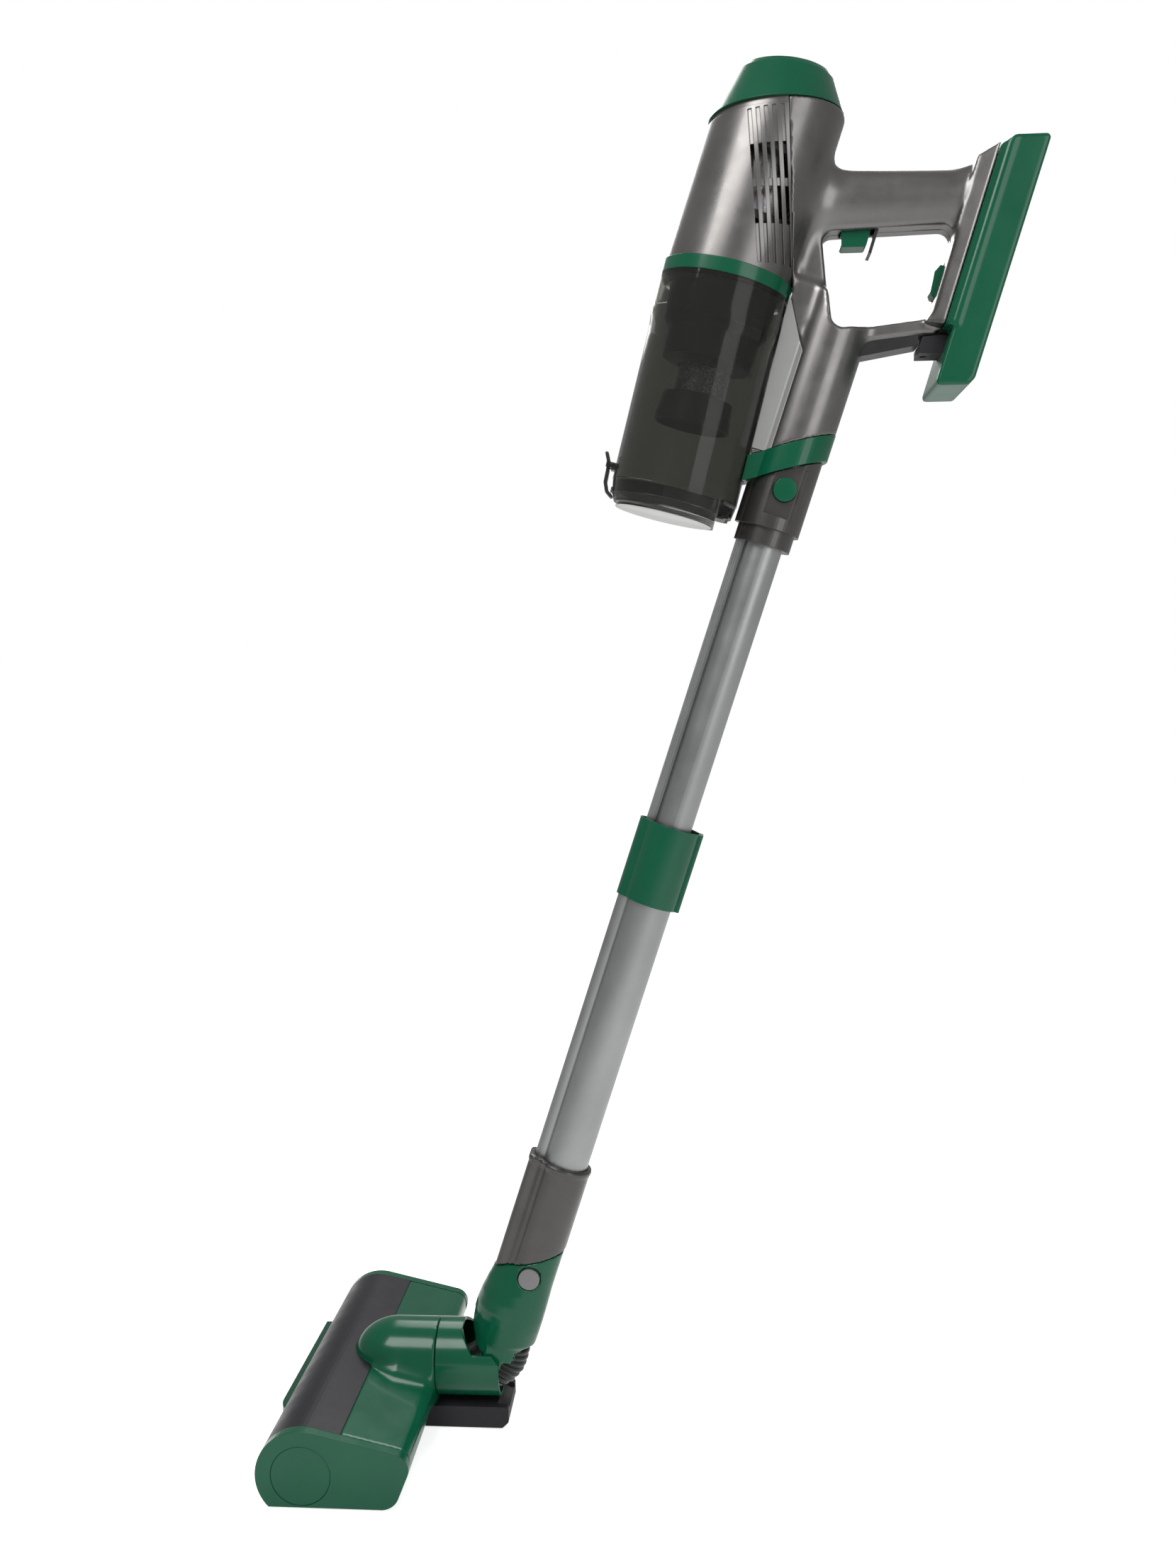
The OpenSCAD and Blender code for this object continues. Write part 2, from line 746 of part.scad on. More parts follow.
module exhaust_cap() {
  color(green) difference() {
    on_cap() difference() {
      cap_cone(0, 29);
      cap_cone(2.4, 26);
      difference() {
        translate([0, 0, 20]) cylinder(r = 27, h = 20);
        for (r = [6 : 6 : 24]) difference() {
          cylinder(r = r, h = 40);
          translate([0, 0, -1]) cylinder(r = r - 2.4, h = 60);
        }
        for (a = [0 : 45 : 179]) rotate([0, 0, a]) translate([-28, -1.1, 0]) cube([56, 2.2, 60]);
      }
    }
    on_wand() under(-90.7, 984.1, seam_tilt);
  }
}
module exhaust_filter() {
  color([0.85, 0.85, 0.82]) on_wand() translate([0, barrel_o, 964]) difference() {
    cylinder(r = 36, h = 18);
    translate([0, 0, -1]) cylinder(r = 14, h = 30);
  }
}
module motor_can() {
  color(silver) on_wand() translate([0, barrel_o, 896]) {
    difference() {
      cylinder(r = 34, h = 60);
      translate([0, 0, -1]) cylinder(r = 31, h = 3);
      translate([0, 0, -1]) cylinder(r = 4.12, h = 80);
      for (a = [0 : 30 : 359]) rotate([0, 0, a]) translate([22, 0, 56]) cylinder(r = 3, h = 10);
    }
  }
}
module motor_mount() {
  color([0.1, 0.1, 0.1]) on_wand() translate([0, barrel_o, 0]) for (s = [898, 948]) translate([0, 0, s]) difference() {
    cylinder(r = barrel_r - shell_t - 0.05, h = 6);
    translate([0, 0, -1]) cylinder(r = 34.05, h = 8);
    for (a = [0 : 60 : 359]) rotate([0, 0, a + 30]) translate([40.5, 0, -1]) cylinder(r = 3.5, h = 9);
  }
}
module impeller() {
  color([0.8, 0.8, 0.78]) on_wand() translate([0, barrel_o, 0]) {
    translate([0, 0, 874]) cylinder(r = 4.05, h = 70);
    translate([0, 0, 890]) cylinder(r = 33, h = 2);
    translate([0, 0, 878]) cylinder(r = 9, h = 12.5);
    for (a = [0 : 40 : 359]) rotate([0, 0, a]) translate([8, -0.8, 880]) cube([24.5, 1.6, 10.5]);
  }
}
module finger_guard() {
  color(dark) translate([0, 411.5, 958]) rotate([-17, 0, 0]) box(10, [-1.2, 1.2], [-37.5, 3.5]);
}
module trigger() {
  color(green) difference() {
    side(16) round2d(2) polygon([[379.4, 927.5], [397.9, 927.5], [402.2, 942], [402.2, 949], [379.4, 949]]);
  }
}
module battery_button() {
  color(green) on_post() translate([-7, 0, 14]) side_block();
}
module side_block() {
  translate([7, 0, 0]) side(14) round2d(1.5) polygon([[-5, 3], [-6, 18], [-3, 24], [2.8, 24], [2.8, 0], [-3, 0]]);
}

// ---- battery ----
module bat_2d(inset = 0) {
  offset(-inset) round2d(4) polygon([[446, 818.5], [500.3, 997], [528.6, 997], [474.2, 820.5], [470, 818.5]]);
}
module battery_case() {
  color(green) difference() {
    translate([0, 0, 0]) side(2 * bat_hw) bat_2d();
    side(2 * bat_hw - 5) bat_2d(2.5);
    translate([0, 446, 818.5]) rotate([-16.92, 0, 0]) translate([-8, -4, 60]) cube([16, 10, 12]);
  }
}
module battery_rail() {
  color(dark) difference() {
    translate([0, 446, 818.5]) rotate([-16.92, 0, 0]) translate([-11.6, -7.6, 44]) cube([23.2, 7.58, 112]);
    translate([0, 446, 818.5]) rotate([-16.92, 0, 0]) translate([-8, -12, 128]) cube([16, 10, 14]);
  }
}
module battery_cells() {
  color([0.2, 0.35, 0.6]) translate([0, 446, 818.5]) rotate([-16.92, 0, 0])
    for (s = [0, 1]) for (x = [-22, -2.9, 16.2]) translate([x + 2.9, 13.6, 14 + 76 * s]) cylinder(r = 9.2, h = 65);
}
module charge_socket() {
  color(dark) difference() {
    side(28) polygon([[437.6, 846.5], [460, 846.5], [460, 859.6], [454.2, 859.6], [439.6, 858.5], [437.6, 852]]);
    translate([0, 442.2, 840]) cylinder(r = jack_r, h = 16);
    translate([0, 446, 818.5]) rotate([-16.92, 0, 0]) translate([-20, -0.02, -10]) cube([40, 30, 100]);
  }
}

// ---- dust cup ----
module lid_outer() {
  rotate_extrude() polygon([[0, -181], [39.5, -181], [44.5, -178.6], [47.4, -173], [48.9, -163.9], [48.9, -162.2], [0, -162.2]]);
}
module lid_inner() {
  rotate_extrude() polygon([[0, -178.6], [38.5, -178.6], [42.8, -176.5], [45.2, -172], [46.8, -162], [46.8, -150], [0, -150]]);
}
module dust_cup() {
  color(smoke) on_cup() difference() {
    cup_body();
    translate([0, 40.7, -170.2]) along_x(-17.7, 17.7, 2.06);
  }
}
module cup_body() {
  difference() {
    union() {
      rotate_extrude() polygon([[0, 3.8], [47.2, 3.8], [47.2, -4.5], [50.5, -4.5], [50.8, -30], [50.4, -36],
        [49.5, -44], [cup_r, -52], [cup_r, -cup_depth], [0, -cup_depth]]);
      intersection() {
        translate([0, 0, 0.3]) lid_outer();
        translate([-60, 36, -172]) cube([120, 40, 20]);
      }
      translate([-5, -52.4, -156]) cube([10, 4, 5]);
    }
    rotate_extrude() polygon([[0, 5], [45, 5], [45, -4.5], [48.3, -8], [48.4, -30], [47.2, -44], [cup_r - 2.1, -52],
      [cup_r - 2.1, -cup_depth + 6], [46.8, -cup_depth], [45.2, -172], [45.2, -185], [0, -185]]);
    translate([-12, 30, -28]) cube([24, 40, 20]);
    translate([-13, 36, -180]) cube([26, 9.4, 18]);
  }
  translate([0, 0, -164.4]) linear_extrude(2.3) intersection() {
    circle(47.2);
    translate([-60, 36]) square([120, 40]);
  }
  for (x = [-17.4, 13.4]) translate([x, 37.1, -173.6]) cube([4, 8.1, 13]);
  for (m = [0, 1]) mirror([m, 0, 0]) {
    translate([5.3, -56.6, -154.6]) cube([1.8, 8, 4.2]);
    translate([0, -54.6, -152.5]) along_x(4, 5.5, 0.8);
  }
}
module cyclone_shroud() {
  color(dark) on_cup() rotate_extrude() polygon([[14, -2], [44.98, -2], [44.98, -6], [41.5, -9], [40, -34], [35.5, -40], [34.5, -62],
    [21.5, -66], [21.5, -64], [32.3, -60], [33.5, -38.5], [37.8, -33], [39.2, -9], [39, -6], [14, -6]]);
}
module mesh_filter() {
  color(grey) on_cup() difference() {
    translate([0, 0, -92]) cylinder(r = 19.6, h = 86);
    translate([0, 0, -93]) cylinder(r = 18.4, h = 90);
  }
}
module cyclone_skirt() {
  color(dark) on_cup() rotate_extrude() polygon([[19.65, -86], [27.5, -88.5], [29.5, -110], [28.2, -110], [26.2, -90], [19.65, -88]]);
}
module lid() {
  color(smoke) on_cup() {
    difference() {
      lid_outer();
      lid_inner();
      translate([-60, 35.4, -190]) cube([120, 40, 60]);
      translate([-6.6, -60, -182]) cube([13.2, 14.4, 30]);
    }
    translate([-6.2, -48.6, -172.6]) cube([12.4, 5.2, 4]);
    intersection() {
      lid_outer();
      translate([-60, 33.2, -190]) cube([120, 2.2, 27.4]);
    }
    difference() {
      union() {
        translate([-12.8, 31, -174]) cube([25.6, 9.7, 7.2]);
        translate([-12.8, 31, -180.5]) cube([25.6, 4.3, 13]);
        translate([0, 40.7, -170.2]) along_x(-12.8, 12.8, 3.8);
        translate([0, 40.7, -170.2]) along_x(-17.2, 17.2, 2);
      }
      translate([0, 0, -190]) cylinder(r = 30, h = 40);
    }
  }
}
module lid_seal() {
  color([0.08, 0.08, 0.08]) on_cup() difference() {
    translate([0, 0, -171]) cylinder(r = 45.1, h = 8);
    translate([0, 0, -180]) cylinder(r = 43, h = 30);
    translate([-60, 30.9, -190]) cube([120, 40, 60]);
    translate([-6.5, -50, -180]) cube([13, 10, 12]);
  }
}
module lid_latch() {
  color(smoke) on_cup() difference() {
    union() {
      latch_arm();
      translate([0, -54.6, -152.5]) along_x(-5, 5, 1.7);
    }
    translate([0, -54.6, -152.5]) along_x(-6, 6, 0.86);
  }
}
module latch_arm() {
  side(10) polygon([[-46, -176.5], [-49, -177], [-53, -170], [-53.6, -158], [-55.5, -150], [-59.5, -143],
    [-57.8, -141.2], [-53, -146], [-52.9, -148.5], [-53, -156.3], [-50.9, -156.6], [-50.4, -158.4], [-50.6, -172.9], [-46, -173.2]]);
}

head_top_cover();
head_panel();
head_base();
end_cap_left();
end_cap_right();
bumper_strip();
tail_block();
neck_ring();
drive_motor();
belt_place() drive_belt();
sole_strips();
motor_pulley();
brush_core();
bristle_strips();
brush_pulley();
brush_cover();
rear_roller();
front_rollers();
swivel_sleeve();
elbow_shell();
elbow_spigot();
bellows();
elbow_button();
lower_connector();
lower_tube();
tube_bush();
collar();
upper_tube();
conductor_rail();
top_connector();
wand_button();
barrel_shell();
handle_left();
handle_right();
green_band();
duct_trim();
duct_liner();
strut_cover();
cup_ring();
exhaust_cap();
exhaust_filter();
motor_can();
motor_mount();
impeller();
finger_guard();
housing_screws();
trigger();
battery_button();
battery_case();
battery_rail();
battery_cells();
charge_socket();
dust_cup();
cyclone_shroud();
mesh_filter();
cyclone_skirt();
lid();
lid_seal();
lid_latch();
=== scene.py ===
"""Looks for the cordless stick vacuum.

Procedural materials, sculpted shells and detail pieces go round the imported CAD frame, then come the
floor, the lights and the camera.
"""

import math

import bmesh
import bpy
import numpy as np
import openvdb
from mathutils import Matrix, Vector


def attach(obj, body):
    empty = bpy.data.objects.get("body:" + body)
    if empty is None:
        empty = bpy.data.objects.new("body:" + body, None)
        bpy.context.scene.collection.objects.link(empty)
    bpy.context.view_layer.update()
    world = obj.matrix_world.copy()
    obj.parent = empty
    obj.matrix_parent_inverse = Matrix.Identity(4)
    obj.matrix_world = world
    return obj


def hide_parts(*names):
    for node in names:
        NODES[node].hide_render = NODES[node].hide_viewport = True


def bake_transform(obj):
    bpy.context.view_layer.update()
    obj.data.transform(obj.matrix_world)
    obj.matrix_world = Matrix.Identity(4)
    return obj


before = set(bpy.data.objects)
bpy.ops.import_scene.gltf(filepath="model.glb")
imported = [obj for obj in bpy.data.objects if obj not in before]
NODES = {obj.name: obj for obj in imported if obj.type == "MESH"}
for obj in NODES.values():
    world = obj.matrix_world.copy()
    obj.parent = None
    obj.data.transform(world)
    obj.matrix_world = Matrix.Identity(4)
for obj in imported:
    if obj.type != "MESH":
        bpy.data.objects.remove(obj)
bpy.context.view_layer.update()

# ---------------------------------------------------------------- frames of reference, in millimetres
# The wand's frame starts in the elbow. The cup's and the cap's start close to the barrel's axis, and are
# tilted from the wand by some degrees.
LEAN = math.radians(18.05)
WAND_Y, WAND_Z = 111.6, 60.8
CUP_OFFSET, CUP_STATION, CUP_TILT = -89.1, 858, 3.8
CAP_OFFSET, CAP_STATION, CAP_TILT = -88.6, 990, 10.9
WAND = Matrix.Translation((0, WAND_Y / 1000, WAND_Z / 1000)) @ Matrix.Rotation(-LEAN, 4, "X")
CUP_PLACE = Matrix.Translation((0, CUP_OFFSET / 1000, CUP_STATION / 1000))
CUP = WAND @ CUP_PLACE @ Matrix.Rotation(math.radians(CUP_TILT), 4, "X")


# ---------------------------------------------------------------- materials
def link(nt, a, b):
    nt.links.new(a, b)


def material(name, color, rough, metal=0.0, coat=0.0, ior=1.5, spec=0.5):
    """A Principled material with its constants on the shader's own sockets."""
    m = bpy.data.materials.new(name)
    m.use_nodes = True
    b = m.node_tree.nodes["Principled BSDF"]
    b.inputs["Base Color"].default_value = (*color, 1)
    b.inputs["Roughness"].default_value = rough
    b.inputs["Metallic"].default_value = metal
    b.inputs["Coat Weight"].default_value = coat
    b.inputs["Coat Roughness"].default_value = 0.05
    b.inputs["IOR"].default_value = ior
    b.inputs["Specular IOR Level"].default_value = spec
    return m


def shader(m):
    return m.node_tree.nodes["Principled BSDF"]


def noise(m, scale, detail, stretch=None):
    """Noise in object space, in metres, so its scale is real; stretch squeezes it along an axis."""
    nt = m.node_tree
    co = nt.nodes.new("ShaderNodeTexCoord")
    mp = nt.nodes.new("ShaderNodeMapping")
    tex = nt.nodes.new("ShaderNodeTexNoise")
    link(nt, co.outputs["Object"], mp.inputs["Vector"])
    if stretch:
        mp.inputs["Scale"].default_value = stretch
    link(nt, mp.outputs["Vector"], tex.inputs["Vector"])
    tex.inputs["Scale"].default_value = scale
    tex.inputs["Detail"].default_value = detail
    tex.inputs["Roughness"].default_value = 0.6
    return tex.outputs["Fac"]


def vary_color(m, fac, low, high):
    """Let a factor run the base colour between two colours."""
    nt = m.node_tree
    ramp = nt.nodes.new("ShaderNodeValToRGB")
    first, last = ramp.color_ramp.elements
    first.position = 0.3
    first.color = (*low, 1)
    last.position = 0.7
    last.color = (*high, 1)
    link(nt, fac, ramp.inputs["Fac"])
    link(nt, ramp.outputs["Color"], shader(m).inputs["Base Color"])
    return m


def vary_rough(m, fac, low, high):
    """Let a factor run the roughness between two values."""
    nt = m.node_tree
    mr = nt.nodes.new("ShaderNodeMapRange")
    for socket, value in (("From Min", 0.3), ("From Max", 0.7), ("To Min", low), ("To Max", high)):
        mr.inputs[socket].default_value = value
    link(nt, fac, mr.inputs["Value"])
    link(nt, mr.outputs["Result"], shader(m).inputs["Roughness"])
    return m


def bump(m, fac, strength, depth):
    """Raise the surface by a factor, on top of any normal that is there already."""
    nt = m.node_tree
    b = nt.nodes.new("ShaderNodeBump")
    b.inputs["Strength"].default_value = strength
    b.inputs["Distance"].default_value = depth
    link(nt, fac, b.inputs["Height"])
    normal = shader(m).inputs["Normal"]
    if normal.links:
        link(nt, normal.links[0].from_socket, b.inputs["Normal"])
    link(nt, b.outputs["Normal"], normal)
    return m


def soft_edges(m, radius=0.0007):
    """Moulded edges catch a thin highlight: a rounded-edge normal under any bump."""
    nt = m.node_tree
    b = nt.nodes.new("ShaderNodeBevel")
    b.samples = 4
    b.inputs["Radius"].default_value = radius
    link(nt, b.outputs["Normal"], shader(m).inputs["Normal"])
    return m


def plastic(name, low, high, rough, coat=0.0, grain=0.02, edge=0.0007, **kw):
    """Moulded or painted plastic: colour and gloss that drift a little, and a fine grain."""
    m = material(name, [(a + b) / 2 for a, b in zip(low, high)], rough, coat=coat, **kw)
    if edge:
        soft_edges(m, edge)
    vary_color(m, noise(m, 14, 5), low, high)
    vary_rough(m, noise(m, 60, 6), rough * 0.85, rough * 1.2)
    bump(m, noise(m, 1400, 3), grain, 0.0002)
    return m


GREEN = (0.001, 0.072, 0.034), (0.0014, 0.085, 0.04)
GREEN_LOOK = {"rough": 0.2, "coat": 0.12, "grain": 0.012, "spec": 0.3}
GUNMETAL = (0.150, 0.144, 0.140), (0.185, 0.178, 0.173)
GUNMETAL_LOOK = {"rough": 0.3, "metal": 0.82, "coat": 0.12}

# the green and gunmetal forms have rounded edges of their own, so edge is 0 for them
green = plastic("green_gloss", *GREEN, edge=0.0009, **GREEN_LOOK)
green_form = plastic("green_form", *GREEN, edge=0, **GREEN_LOOK)
green_dark = plastic(
    "green_lip", (0.001, 0.05, 0.024), (0.0014, 0.06, 0.029), 0.2, coat=0.12, grain=0.015, spec=0.3,
)
gunmetal = plastic("gunmetal", *GUNMETAL, grain=0.04, **GUNMETAL_LOOK)
bump(gunmetal, noise(gunmetal, 5200, 2), 0.06, 0.0001)
gunmetal_form = plastic("gunmetal_form", *GUNMETAL, grain=0.03, edge=0, **GUNMETAL_LOOK)
connector = plastic(
    "connector_grey", (0.068, 0.066, 0.062), (0.088, 0.085, 0.080), 0.3, metal=0.7, coat=0.15, grain=0.05,
)

grey_light = plastic("grey_light", (0.30, 0.305, 0.295), (0.34, 0.345, 0.335), 0.34, metal=0.3)
button_grey = plastic("button_grey", (0.17, 0.165, 0.165), (0.2, 0.195, 0.195), 0.33, metal=0.4)
charcoal = plastic("charcoal", (0.011, 0.010, 0.013), (0.018, 0.017, 0.020), 0.5, grain=0.35, spec=0.28)
panel_dark = plastic("panel_dark", (0.010, 0.009, 0.012), (0.015, 0.014, 0.018), 0.36, grain=0.1, spec=0.25)
black = plastic("black", (0.008, 0.008, 0.009), (0.016, 0.016, 0.017), 0.35, grain=0.12)
rubber = plastic("rubber", (0.006, 0.006, 0.007), (0.014, 0.014, 0.015), 0.55, grain=0.4)
bellows_black = plastic(
    "bellows_black", (0.006, 0.010, 0.008), (0.010, 0.016, 0.013), 0.2, grain=0.03, spec=0.3,
)
white = plastic("white", (0.52, 0.52, 0.50), (0.60, 0.60, 0.58), 0.4)
cells = plastic("cells", (0.02, 0.07, 0.18), (0.03, 0.1, 0.24), 0.3, coat=0.3)

silver = material("silver_tube", (0.3, 0.31, 0.305), 0.36, metal=0.9)
soft_edges(silver, 0.0004)
vary_color(silver, noise(silver, 9, 4), (0.28, 0.29, 0.286), (0.33, 0.34, 0.335))
vary_rough(silver, noise(silver, 40, 6), 0.31, 0.42)
bump(silver, noise(silver, 2600, 3, stretch=(1, 1, 0.04)), 0.05, 0.0001)
steel = material("steel", (0.5, 0.5, 0.51), 0.3, metal=1.0)
vary_rough(steel, noise(steel, 200, 5), 0.22, 0.38)

felt = material("felt", (0.12, 0.02, 0.025), 0.95)
vary_color(felt, noise(felt, 900, 6), (0.09, 0.015, 0.02), (0.17, 0.03, 0.035))
bump(felt, noise(felt, 2200, 6), 0.9, 0.0006)
bristle = material("bristle", (0.02, 0.03, 0.03), 0.7)
strands = noise(bristle, 1500, 5, stretch=(1, 0.2, 0.2))
vary_color(bristle, strands, (0.012, 0.018, 0.018), (0.05, 0.07, 0.065))
bump(bristle, noise(bristle, 2500, 4, stretch=(1, 0.1, 0.1)), 1.0, 0.0008)
paper = material("filter_paper", (0.72, 0.72, 0.68), 0.9)
vary_color(paper, noise(paper, 500, 6), (0.62, 0.62, 0.58), (0.76, 0.76, 0.72))
bump(paper, noise(paper, 900, 4), 0.5, 0.0005)

smoke = material("smoke_clear", (0.27, 0.27, 0.25), 0.04, ior=1.25, spec=0.35)
shader(smoke).inputs["Transmission Weight"].default_value = 0.96
vary_rough(smoke, noise(smoke, 30, 5), 0.03, 0.09)


def woven_metal():
    """Fine wire mesh, drawn by the cells of a Voronoi texture."""
    m = material("mesh_metal", (0.3, 0.3, 0.31), 0.35, metal=0.9)
    nt = m.node_tree
    wires = nt.nodes.new("ShaderNodeTexVoronoi")
    co = nt.nodes.new("ShaderNodeTexCoord")
    wires.inputs["Scale"].default_value = 1100
    link(nt, co.outputs["Object"], wires.inputs["Vector"])
    vary_color(m, wires.outputs["Distance"], (0.015, 0.015, 0.016), (0.4, 0.4, 0.41))
    return bump(m, wires.outputs["Distance"], 0.6, 0.0003)


mesh_metal = woven_metal()

smoke_part = plastic("smoke_part", (0.030, 0.031, 0.030), (0.042, 0.043, 0.041), 0.12, grain=0.01)
shader(smoke_part).inputs["Transmission Weight"].default_value = 0.35

MATERIAL = {
    "head_top_cover": green, "head_panel": panel_dark, "head_base": charcoal, "end_cap_left": green,
    "end_cap_right": green, "bumper_strip": green_dark, "tail_block": charcoal, "neck_ring": black,
    "drive_motor": steel, "drive_belt": rubber, "sole_strips": felt, "motor_pulley": steel,
    "brush_core": charcoal, "bristle_strips": bristle, "brush_pulley": steel, "brush_cover": green,
    "rear_roller": rubber, "front_rollers": rubber, "swivel_sleeve": green, "elbow_shell": green,
    "elbow_spigot": charcoal, "bellows": rubber, "elbow_button": button_grey,
    "lower_connector": connector, "lower_tube": silver, "tube_bush": black, "collar": green,
    "upper_tube": silver, "conductor_rail": silver, "top_connector": connector, "wand_button": green,
    "barrel_shell": gunmetal, "handle_left": gunmetal, "handle_right": gunmetal, "green_band": green,
    # strut_cover is black as painted shade: it stands in for the shaded underside of the handle's strut
    "duct_trim": grey_light, "duct_liner": charcoal, "strut_cover": black, "cup_ring": green,
    "exhaust_cap": green, "exhaust_filter": paper, "motor_can": steel, "motor_mount": rubber,
    "impeller": white, "finger_guard": black, "housing_screws": steel, "trigger": green,
    "battery_button": green, "battery_case": green, "battery_rail": charcoal, "battery_cells": cells,
    "charge_socket": charcoal, "dust_cup": smoke, "cyclone_shroud": black, "mesh_filter": mesh_metal,
    "cyclone_skirt": black, "lid": smoke, "lid_seal": rubber, "lid_latch": smoke,
}
for name, mat in MATERIAL.items():
    node = NODES[name]
    for slot in node.material_slots:
        slot.material = mat
    if not node.material_slots:
        node.data.materials.append(mat)


# ---------------------------------------------------------------- distance fields, in millimetres
SIN_LEAN, COS_LEAN = math.sin(LEAN), math.cos(LEAN)
NO_CUT = -99  # as a field, it leaves whatever it is cut with as it is


def wand_frame(y, z):
    """World Y, Z to the wand's own offset (towards the back) and station (along it)."""
    y, z = y - WAND_Y, z - WAND_Z
    return y * COS_LEAN - z * SIN_LEAN, y * SIN_LEAN + z * COS_LEAN


def tilted(u, v, origin_u, origin_v, degrees):
    """Coordinates in a frame with its own origin, turned back by some degrees about X."""
    a = math.radians(degrees)
    u, v = u - origin_u, v - origin_v
    return u * math.cos(a) + v * math.sin(a), v * math.cos(a) - u * math.sin(a)


def smin(a, b, k):
    """Two fields joined, with a fillet of about k where they meet."""
    h = np.clip(0.5 + 0.5 * (b - a) / k, 0, 1)
    return b * (1 - h) + a * h - k * h * (1 - h)


def smax(a, b, k):
    """What two fields share, with its edge rounded by about k."""
    return -smin(-a, -b, k)


def cut(solid, *sides):
    """A solid less the space that lies inside every one of some fields."""
    hole = sides[0]
    for side in sides[1:]:
        hole = np.maximum(hole, side)
    return np.maximum(solid, -hole)


def segment_distance(start, end, y, z):
    """Distance to the straight line between two points."""
    run, rise = end[0] - start[0], end[1] - start[1]
    t = np.clip(((y - start[0]) * run + (z - start[1]) * rise) / (run * run + rise * rise), 0, 1)
    return np.hypot(y - start[0] - t * run, z - start[1] - t * rise)


def outline_field(points, y, z):
    """Signed distance to a closed outline, on 2-D grids."""
    d = np.full(y.shape, np.inf)
    inside = np.zeros(y.shape, bool)
    for start, end in zip(points, points[1:] + points[:1]):
        d = np.minimum(d, segment_distance(start, end, y, z))
        if end[1] != start[1]:
            meets = (end[0] - start[0]) * (z - start[1]) / (end[1] - start[1]) + start[0]
            inside ^= ((start[1] > z) != (end[1] > z)) & (y < meets)
    return np.where(inside, -d, d)


def rounded(points, y, z, r):
    """Signed distance to an outline whose corners are rounded by r."""
    middle_y = sum(p[0] for p in points) / len(points)
    middle_z = sum(p[1] for p in points) / len(points)

    def inward(start, end):
        """The unit normal of one side, towards the outline's middle."""
        ny, nz = end[1] - start[1], start[0] - end[0]
        facing = 1 if ny * (middle_y - start[0]) + nz * (middle_z - start[1]) > 0 else -1
        length = math.hypot(ny, nz) * facing
        return ny / length, nz / length

    inner = []
    for before, corner, after in zip(points[-1:] + points[:-1], points, points[1:] + points[:1]):
        (ay, az), (by, bz) = inward(before, corner), inward(corner, after)
        det = ay * bz - az * by
        inner.append((corner[0] + r * (bz - az) / det, corner[1] + r * (ay - by) / det))
    return outline_field(inner, y, z) - r


def extrude(side_view, x, half_width, r):
    """A side-view distance spread along X to a half width, its edges rounded by r."""
    a, b = side_view + r, np.abs(x) - half_width + r
    return np.hypot(np.maximum(a, 0), np.maximum(b, 0)) + np.minimum(np.maximum(a, b), 0) - r


def slab(v, low, high):
    """Distance to the layer between two values of one coordinate."""
    return np.maximum(low - v, v - high)


# ---------------------------------------------------------------- from a field or a mesh to a piece
def relax(points, quads):
    """Average each vertex with its neighbours, twice, so the surface shades smoothly."""
    edges = np.concatenate([quads[:, [0, 1]], quads[:, [1, 2]], quads[:, [2, 3]], quads[:, [3, 0]]])
    count = np.bincount(edges.ravel(), minlength=len(points))[:, None]
    for _ in range(2):
        total = np.zeros_like(points)
        np.add.at(total, edges[:, 0], points[edges[:, 1]])
        np.add.at(total, edges[:, 1], points[edges[:, 0]])
        points = points * 0.5 + total / count * 0.5
    return points


def field_mesh(name, low, high, step, field, body, mat, nodes):
    """A closed quad mesh round the inside of a distance field, in place of some nodes."""
    axes = [np.arange(a, b + step, step) for a, b in zip(low, high)]
    x, y, z = axes[0][:, None, None], axes[1][None, :, None], axes[2][None, None, :]
    d = np.broadcast_to(field(x, y, z), [len(a) for a in axes]).astype(np.float32)
    band = 3 * step
    grid = openvdb.FloatGrid(band)
    grid.copyFromArray(np.ascontiguousarray(np.clip(d, -band, band)))
    points, quads = grid.convertToQuads(0.0)
    points = relax((points * step + np.array(low)) / 1000, quads)
    me = bpy.data.meshes.new(name)
    me.from_pydata(points.tolist(), [], quads.tolist())
    piece(name, me, body, mat, nodes)


def put(name, data):
    """A new object in the scene."""
    o = bpy.data.objects.new(name, data)
    bpy.context.scene.collection.objects.link(o)
    return o


def piece(name, me, body, mat, nodes=(), smooth=True):
    """A mesh as a piece on a body, in place of some nodes; a smooth one has its doubled vertices welded."""
    bm = bmesh.new()
    bm.from_mesh(me)
    if smooth:
        bmesh.ops.remove_doubles(bm, verts=bm.verts, dist=1e-6)
    bmesh.ops.recalc_face_normals(bm, faces=bm.faces)
    for f in bm.faces:
        f.smooth = smooth
    bm.to_mesh(me)
    bm.free()
    me.materials.append(mat)
    o = put(name, me)
    if body:
        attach(o, body)
    if nodes:
        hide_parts(*nodes)
    return o


# ---------------------------------------------------------------- where the hand unit meets the battery
BATTERY = [(446, 818.5), (500.3, 997), (528.6, 997), (475.4, 823.6), (470.6, 818.5)]
BATTERY_TILT = -16.92


def battery_frame(y, z):
    """Coordinates across and along the battery, from its lower front corner."""
    return tilted(y, z, *BATTERY[0], BATTERY_TILT)


def battery_face(y, z):
    """How far behind the hand unit's back plane a point is, and how far up along that plane."""
    slope, up_y, up_z = 0.3044, 0.2912, 0.9567
    back = (y - 499.4 - slope * (z - 996.5)) / math.hypot(1, slope)
    along = (y - 458.6) * up_y + (z - 861.8) * up_z
    return back, along


# ---------------------------------------------------------------- hand unit: one moulded form, split in two
BARREL_OFFSET = -88.9
GRIP_Z = 962.4
FINGER_HOLE = [(364.6, 938.2), (371.6, 864.6), (444.7, 872.6), (465.0, 940.8)]
LOOP = [
    (338, 985), (343, 930), (351, 872), (366, 851), (383, 854),
    (437, 859.6), (457.7, 858.8), (499, 996), (482, 988), (462, 975),
]


